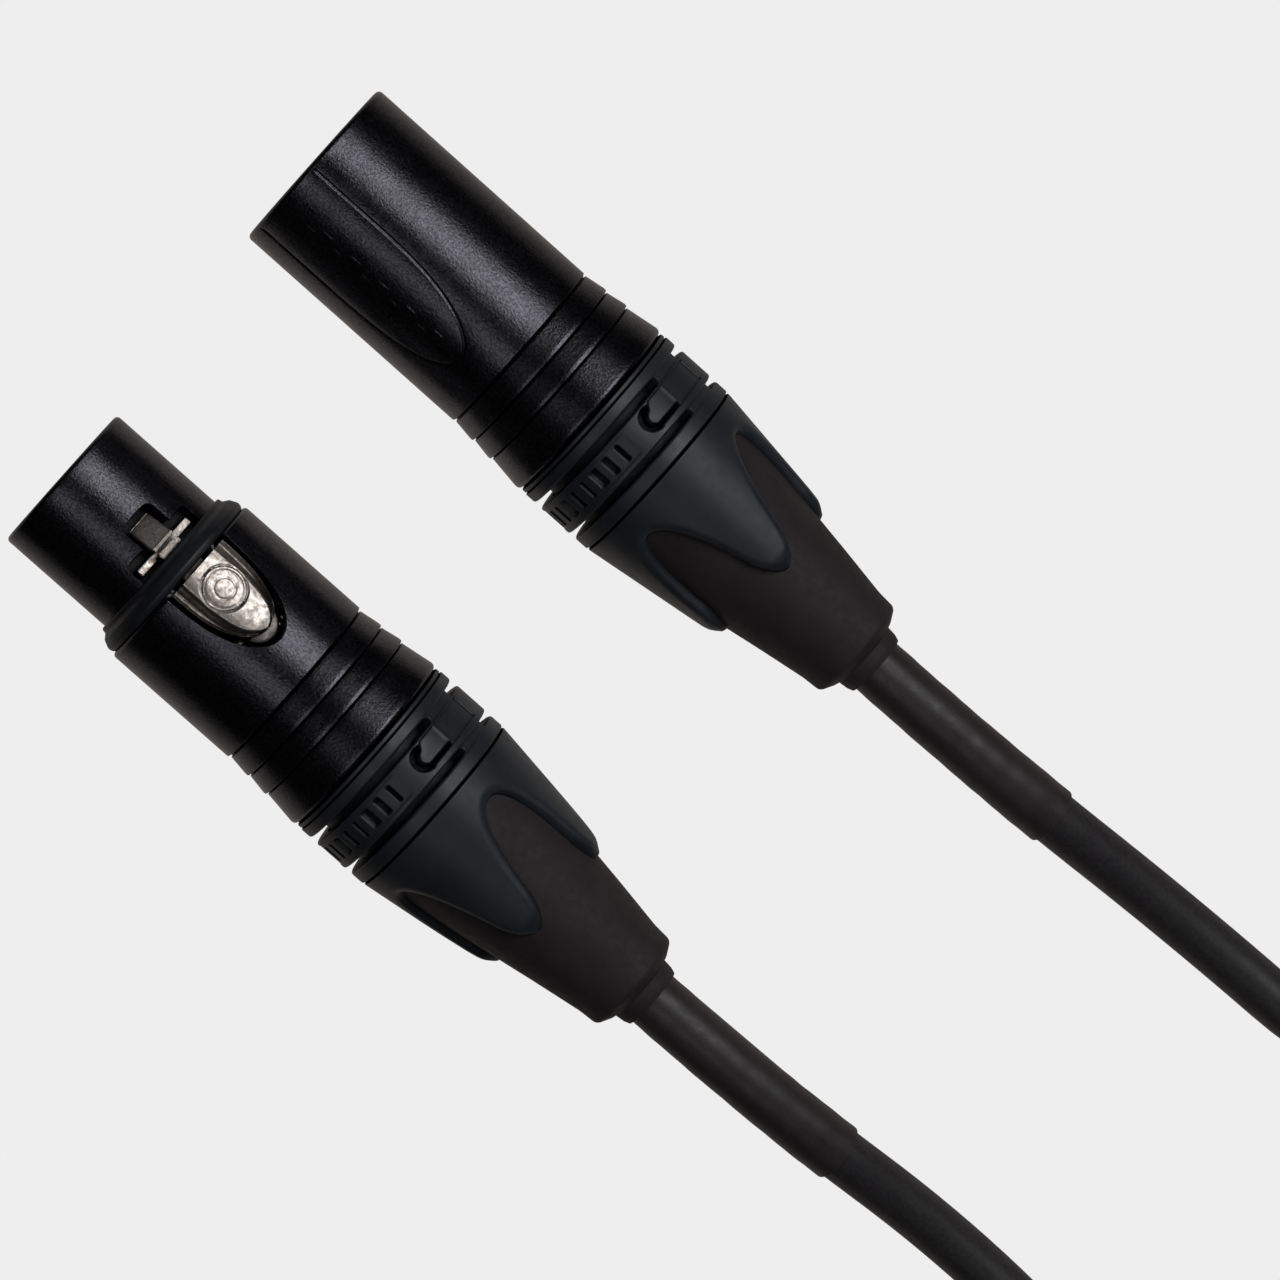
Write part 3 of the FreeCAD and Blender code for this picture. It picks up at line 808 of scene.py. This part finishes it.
def tab_height(x, s):
    """Radius of the tab's top: a raised tongue with steep flanks, a thin upturned rim and the disc."""
    share = np.clip((x - TAB_START) / (TAB_END - 0.2 - TAB_START), 0, 1)
    tongue = 2.42 * np.power(np.clip(1 - share ** 3.6, 0, 1), 0.5)
    d = np.abs(s) - tongue
    height = 9.74 - 0.8 * ease(d, -0.2, 1.0)
    rim = tab_half_width(x) - np.abs(s)
    height += 0.45 * np.exp(-(rim / 0.17) ** 2) * (tab_half_width(x) > 1.2)
    height -= 0.18 * ease(x, 22.6, TAB_END) ** 2
    away = np.hypot(x - DISC_X, s)
    disc = 1 - ease(away, DISC_R - 0.1, DISC_R + 0.02)
    height = np.maximum(height, 9.6 * disc)
    height -= 0.09 * np.exp(-((away - DISC_R) / 0.1) ** 2)
    for radius in (1.95, 1.05):
        height -= 0.045 * np.exp(-((away - radius) / 0.09) ** 2)
    return height


def latch_tab():
    """The press tab as a closed shell over the body's curve."""
    rows = 110
    columns = 90
    share = np.linspace(0, 1, rows)
    xs = TAB_START + (TAB_END - TAB_START) * (1 - (1 - share) ** 1.5)
    u = np.linspace(-1, 1, columns)
    x = np.repeat(xs[:, None], columns, axis=1)
    s = u[None, :] * np.maximum(tab_half_width(x), 0.02)
    phi = LATCH_TURN + s / FEMALE_BODY_R
    top = FEMALE.world(x, tab_height(x, s), phi).reshape(-1, 3)
    under = FEMALE.world(x, np.full_like(x, 8.75), phi).reshape(-1, 3)
    total = rows * columns
    faces = []
    for i in range(rows - 1):
        for k in range(columns - 1):
            a = i * columns + k
            quad = (a, a + 1, a + columns + 1, a + columns)
            faces.append(quad)
            faces.append(tuple(total + v for v in reversed(quad)))
    rim = list(range(columns))
    rim += [i * columns + columns - 1 for i in range(1, rows)]
    rim += [(rows - 1) * columns + k for k in range(columns - 2, -1, -1)]
    rim += [i * columns for i in range(rows - 2, 0, -1)]
    for a, b in zip(rim, rim[1:] + rim[:1]):
        faces.append((a, b, total + b, total + a))
    return mesh_object("female_latch_metal", np.vstack([top, under]), faces)


def latch_block(corners, width, bevel=0.12):
    """A bevelled prism of an (x, height) outline centred on the latch's line."""
    outline = rounded(corners)
    up = np.array([0, math.sin(LATCH_TURN), math.cos(LATCH_TURN)])
    side = np.array([0, math.cos(LATCH_TURN), -math.sin(LATCH_TURN)])
    origin = np.array([FEMALE.front, FEMALE.y, FEMALE.z])
    points = []
    for across in (-width / 2, width / 2):
        for a, b in outline:
            points.append((origin + np.array([a, 0, 0]) + side * across + up * b) * MM)
    count = len(outline)
    faces = [tuple(range(count)), tuple(reversed(range(count, 2 * count)))]
    for k in range(count):
        n = (k + 1) % count
        faces.append((k, k + count, n + count, n))
    block = mesh_object("block", points, faces)
    work = bmesh.new()
    work.from_mesh(block.data)
    sharp = [e for e in work.edges if e.calc_face_angle(0) > 0.6]
    bmesh.ops.bevel(work, geom=sharp, offset=bevel * MM, segments=2, affect="EDGES")
    work.to_mesh(block.data)
    work.free()
    return block


def join(first, others):
    """One mesh from several."""
    work = bmesh.new()
    for obj in [first] + others:
        work.from_mesh(obj.data)
    work.to_mesh(first.data)
    work.free()
    for obj in others:
        bpy.data.objects.remove(obj)
    return first


def slope_ears(ears, flat=1.4, slope=0.28):
    """Bends the two ears down outside the flat middle."""
    up = Vector((0, math.sin(LATCH_TURN), math.cos(LATCH_TURN)))
    side = Vector((0, math.cos(LATCH_TURN), -math.sin(LATCH_TURN)))
    origin = Vector((FEMALE.front, FEMALE.y, FEMALE.z)) * MM
    for vertex in ears.data.vertices:
        across = abs((vertex.co - origin).dot(side))
        vertex.co -= up * max(across - flat * MM, 0) * slope


def latch():
    """The lever in one mesh: the tab, and what hangs from it through the ring and down to the pivot."""
    hook = latch_block([(8.35, 6.4), (8.35, 6.62), (8.6, 6.7), (11.2, 7.36), (11.45, 7.4), (11.5, 6.5)], 2.7)
    strip = latch_block([(11.1, 6.8), (11.1, 7.7), (11.45, 7.74), (11.5, 6.8)], 2.6, 0.05)
    neck = latch_block([(11.8, 6.6), (11.8, 7.6), (12.5, 7.66), (12.6, 7.35), (16.4, 7.35), (16.4, 6.6)],
                       2.6, 0.08)
    ears = latch_block([(11.2, 6.5), (11.2, 6.85, 0.25), (12.25, 6.85, 0.25), (12.25, 6.5)], 7.2, 0.1)
    slope_ears(ears)
    web = latch_block([(15.5, 6.9), (15.5, 9.2), (16.5, 9.2), (16.5, 6.9)], 3.0)
    lug = latch_block([(22.2, 4.9, 0.5), (22.2, 8.7), (23.2, 8.6), (23.5, 7.2), (23.5, 4.9, 0.5)], 2.0)
    turn = np.linspace(-1.5, 1.5, 32)
    crescent = np.stack([23.25 + 2.0 * np.cos(turn), 2.0 * np.sin(turn)], axis=1)
    heel = prism("heel", crescent, [(7.3, 0.0), (8.1, 0.0), (8.3, -0.1), (8.38, -0.3)])
    metal = join(latch_tab(), [hook, strip, neck, ears, web, lug, heel])
    finish_piece(metal, "latch_nickel", "latch", ["female_latch_lever"])


# ---- cable ---------------------------------------------------------------------------------------
COIL_X = 144.5
COIL_R = 31.4
TURN_GAP = 5.5
LAYER_GAP = 5.45
COIL_TURNS = 11.5
TURN_POINTS = 16
TIE_LIFT = 1.25
TIE_SPREAD = 0.42
NEAR_PULL = 1.9
NEAR_SPREAD = 0.5
ROUTES = {
    "male": [
        (0.03395, 0.01935, 0.01024),
        (0.0496, 0.01935, 0.01024),
        (0.0750, 0.0210, 0.0027),
        (0.0980, 0.0213, 0.0027),
        (0.1215, 0.0346, 0.0027),
    ],
    "female": [
        (0.03925, -0.01935, 0.01024),
        (0.0550, -0.01935, 0.01024),
        (0.0795, -0.0177, 0.0028),
        (0.1010, -0.0192, 0.0036),
        (0.1225, -0.0346, 0.0128),
    ],
}


def coil_points():
    """Turns side by side in columns and layers: three turns in, up, three turns out, up.

    They rise over the tie's lower side, and lie a little further in on the connectors' side.
    """
    points = []
    swell = 1 / ((6 + 2 * math.cos(2 * math.pi / TURN_POINTS)) / 8)
    columns = [0, 1, 2, 2, 1, 0] * 3
    for k in range(int(COIL_TURNS * TURN_POINTS) + 1):
        turn = k / TURN_POINTS
        now = int(turn)
        share = float(ease(turn - now, 0.72, 0.98))
        column = columns[now] + (columns[now + 1] - columns[now]) * share
        layer = now // 3 + (((now + 1) // 3) - now // 3) * share
        angle = math.pi / 2 - 2 * math.pi * turn
        over_tie = math.exp(-(wrap(angle) / TIE_SPREAD) ** 2)
        near_side = math.exp(-(wrap(angle - math.pi) / NEAR_SPREAD) ** 2)
        radius = (COIL_R + TURN_GAP * (1 - column)) * swell - NEAR_PULL * near_side
        height = CABLE_R + 0.02 + LAYER_GAP * layer + TIE_LIFT * over_tie
        x = COIL_X + radius * math.cos(angle)
        points.append((x * MM, radius * math.sin(angle) * MM, height * MM))
    return points


def add_cable():
    route = ROUTES["male"] + coil_points() + ROUTES["female"][::-1]
    curve = bpy.data.curves.new("cable", "CURVE")
    curve.dimensions = "3D"
    spline = curve.splines.new("NURBS")
    spline.points.add(len(route) - 1)
    for point, spot in zip(spline.points, route):
        point.co = (*spot, 1)
    spline.order_u = 3
    spline.use_endpoint_u = True
    spline.resolution_u = 10
    curve.bevel_depth = CABLE_R * MM
    curve.bevel_resolution = 7
    curve.use_fill_caps = True
    cable = bpy.data.objects.new("cable", curve)
    bpy.context.scene.collection.objects.link(cable)
    return cable


def centreline(cable):
    """The cable's own smooth line, as points in metres."""
    depth = cable.data.bevel_depth
    cable.data.bevel_depth = 0
    graph = bpy.context.evaluated_depsgraph_get()
    cable.data.update_tag()
    graph.update()
    mesh = bpy.data.meshes.new_from_object(cable.evaluated_get(graph))
    points = np.array([v.co for v in mesh.vertices])
    bpy.data.meshes.remove(mesh)
    cable.data.bevel_depth = depth
    return points


def tube_along(name, path, stations, radii, sides=64):
    """A closed tube wall along a path: (distance, outer radius) stations, with the cable's bore."""
    steps = np.linalg.norm(np.diff(path, axis=0), axis=1)
    length = np.concatenate([[0], np.cumsum(steps)])
    profile = list(zip(stations, radii))
    profile += [(stations[-1], CABLE_R * MM * 1.002), (stations[0], CABLE_R * MM * 1.002)]
    angles = np.linspace(0, 2 * math.pi, sides, endpoint=False)
    points = []
    for d, r in profile:
        spot = np.array([np.interp(d, length, path[:, i]) for i in range(3)])
        ahead = np.array([np.interp(min(d + 3e-4, length[-1]), length, path[:, i]) for i in range(3)])
        behind = np.array([np.interp(max(d - 3e-4, 0), length, path[:, i]) for i in range(3)])
        way = (ahead - behind) / np.linalg.norm(ahead - behind)
        across = np.cross([0, 0, 1], way)
        across = across / np.linalg.norm(across)
        up = np.cross(way, across)
        for angle in angles:
            points.append(spot + r * (math.sin(angle) * across + math.cos(angle) * up))
    faces = []
    rows = len(profile)
    for i in range(rows):
        j = (i + 1) % rows
        for k in range(sides):
            n = (k + 1) % sides
            faces.append((i * sides + k, i * sides + n, j * sides + n, j * sides + k))
    return mesh_object(name, np.array(points), faces)


def add_sleeve(seat, line):
    """Heat-shrink: from inside the boot, over the first bend, swelling a little before its cut end."""
    inside = 11.1 * MM
    reach = SLEEVE_REACH[seat.side] * MM
    first = line[0] - np.array([inside + 1 * MM, 0, 0])
    path = np.vstack([first, line[:60]])
    start = 1 * MM
    end = start + inside + reach
    count = 90
    stations = [start + (end - start) * k / count for k in range(count + 1)]
    radii = []
    for d in stations:
        share = (d - start) / (end - start)
        waver = 0.012 * math.sin(share * 37.0) + 0.01 * math.sin(share * 83.0 + 1.3)
        swell = 0.05 * float(ease(share, 0.62, 0.95))
        radii.append((SLEEVE_R - 0.03 + waver + swell) * MM)
    stations.append(end + 0.08 * MM)
    radii[-1] = radii[-2]
    radii.append(radii[-1] - 0.1 * MM)
    sleeve = tube_along(seat.side + "_shrink_sleeve", path, stations, radii)
    finish_piece(sleeve, "heat_shrink", "root", [seat.side + "_sleeve"])
    return sleeve


def add_tie():
    """The hook-and-loop strap: a rounded loop round the bundle."""
    low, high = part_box("cable_tie")
    thick = 1.15
    x0, x1 = low.x / MM, high.x / MM
    top = high.z / MM
    width = (high.y - low.y) / MM / 2
    outer = rounded([(x0, 0.02, 3.0), (x1, 0.02, 3.0), (x1, top - 0.2, 3.0), (x0, top - 0.2, 3.0)])
    inner = rounded([(x0 + thick, thick, 2.0), (x1 - thick, thick, 2.0),
                     (x1 - thick, top - thick - 0.2, 2.0), (x0 + thick, top - thick - 0.2, 2.0)])
    across = np.linspace(-1, 1, 13)
    points = []
    for share in across:
        pinch = 0.12 * (1 - share ** 8)
        for outline, grow in ((outer, -0.12 + pinch), (inner, 0.0)):
            middle = outline.mean(axis=0)
            for a, b in outline:
                away = np.array([a, b]) - middle
                a2, b2 = np.array([a, b]) + grow * away / np.linalg.norm(away)
                points.append((a2 * MM, share * width * MM, max(b2, 0.0) * MM))
    count = len(outer)
    block = 2 * count
    faces = []
    for i in range(len(across) - 1):
        for k in range(count):
            n = (k + 1) % count
            a = i * block
            b = (i + 1) * block
            faces.append((a + k, a + n, b + n, b + k))
            faces.append((a + count + k, b + count + k, b + count + n, a + count + n))
    last = (len(across) - 1) * block
    for k in range(count):
        n = (k + 1) % count
        faces.append((k, count + k, count + n, n))
        faces.append((last + k, last + n, last + count + n, last + count + k))
    tie = mesh_object("coil_strap", points, faces)
    finish_piece(tie, "tie_fabric", "root", ["cable_tie"])
    return tie


cable = add_cable()
line = centreline(cable)
finish_piece(cable, "cable_jacket", "root", ["male_lead", "female_lead", "cable_coil"])
sleeves = [add_sleeve(MALE, line), add_sleeve(FEMALE, line[::-1])]
tie = add_tie()

male_housing()
female_housing()
rubber_ring()
latch()
for seat in (MALE, FEMALE):
    bushing(seat)
    boot(seat)
    coding_ring(seat)

# the CAD nodes that stay take the material of their own slot
for entry in frame["record"]["subparts"]:
    node = frame["nodes"][entry["node"]]
    node.data.materials.clear()
    node.data.materials.append(MATERIALS[entry["material_slot"]])


# ---- floor and light -----------------------------------------------------------------------------
FLOOR_HALF = 3.0
FLOOR_GAP = 0.0001
FLOOR_TONE = 0.853
FLOOR_GLOW = (0.3, 0.28, 0.26)
GLOW_EDGE = (0.034, 0.085)


def add_floor():
    """A plain pale floor: even to the eye, and a dim glow near the connectors in what it lights."""
    mesh = bpy.data.meshes.new("floor")
    half = FLOOR_HALF
    corners = [(-half, -half, 0), (half, -half, 0), (half, half, 0), (-half, half, 0)]
    mesh.from_pydata(corners, [], [(0, 1, 2, 3)])
    floor = bpy.data.objects.new("floor", mesh)
    floor.location.z = -FLOOR_GAP
    bpy.context.scene.collection.objects.link(floor)
    material = bpy.data.materials.new("floor_paper")
    material.use_nodes = True
    tree = material.node_tree
    tree.nodes.clear()
    seen = tree.nodes.new("ShaderNodeEmission")
    seen.inputs["Color"].default_value = (FLOOR_TONE, FLOOR_TONE, FLOOR_TONE, 1)
    glow = tree.nodes.new("ShaderNodeEmission")
    glow.inputs["Color"].default_value = (*FLOOR_GLOW, 1)
    place = tree.nodes.new("ShaderNodeTexCoord")
    parts = tree.nodes.new("ShaderNodeSeparateXYZ")
    aside = tree.nodes.new("ShaderNodeMath")
    aside.operation = "ABSOLUTE"
    fade = tree.nodes.new("ShaderNodeMapRange")
    fade.inputs["From Min"].default_value = GLOW_EDGE[0]
    fade.inputs["From Max"].default_value = GLOW_EDGE[1]
    fade.inputs["To Min"].default_value = 1.0
    fade.inputs["To Max"].default_value = 0.0
    tree.links.new(place.outputs["Object"], parts.inputs["Vector"])
    tree.links.new(parts.outputs["Y"], aside.inputs[0])
    tree.links.new(aside.outputs["Value"], fade.inputs["Value"])
    tree.links.new(fade.outputs["Result"], glow.inputs["Strength"])
    path = tree.nodes.new("ShaderNodeLightPath")
    mix = tree.nodes.new("ShaderNodeMixShader")
    out = tree.nodes.new("ShaderNodeOutputMaterial")
    tree.links.new(path.outputs["Is Camera Ray"], mix.inputs["Fac"])
    tree.links.new(glow.outputs["Emission"], mix.inputs[1])
    tree.links.new(seen.outputs["Emission"], mix.inputs[2])
    tree.links.new(mix.outputs["Shader"], out.inputs["Surface"])
    floor.data.materials.append(material)


def add_light(name, spot, target, size, power):
    data = bpy.data.lights.new(name, "AREA")
    data.shape = "RECTANGLE"
    data.size, data.size_y = size
    data.energy = power
    light = bpy.data.objects.new(name, data)
    light.location = spot
    direction = Vector(target) - Vector(spot)
    light.rotation_euler = direction.to_track_quat("-Z", "Y").to_euler()
    bpy.context.scene.collection.objects.link(light)


LIGHT_REACH = 0.8
LIGHT_ASIDE = 0.073
WORLD_LIGHT = 0.01
LIGHTS = {
    "key": (math.radians(36), (0.313, 0.44), 1.95),
    "fill": (math.radians(-20), (0.313, 0.24), 0.38),
}


def add_lights():
    world = bpy.data.worlds.new("studio")
    world.use_nodes = True
    world.node_tree.nodes["Background"].inputs["Color"].default_value = (1, 1, 1, 1)
    world.node_tree.nodes["Background"].inputs["Strength"].default_value = WORLD_LIGHT
    bpy.context.scene.world = world
    for name, (lean, size, power) in LIGHTS.items():
        spot = (LIGHT_ASIDE, LIGHT_REACH * math.sin(lean), LIGHT_REACH * math.cos(lean))
        add_light(name, spot, (LIGHT_ASIDE, 0, 0.01), size, power)


add_floor()
add_lights()
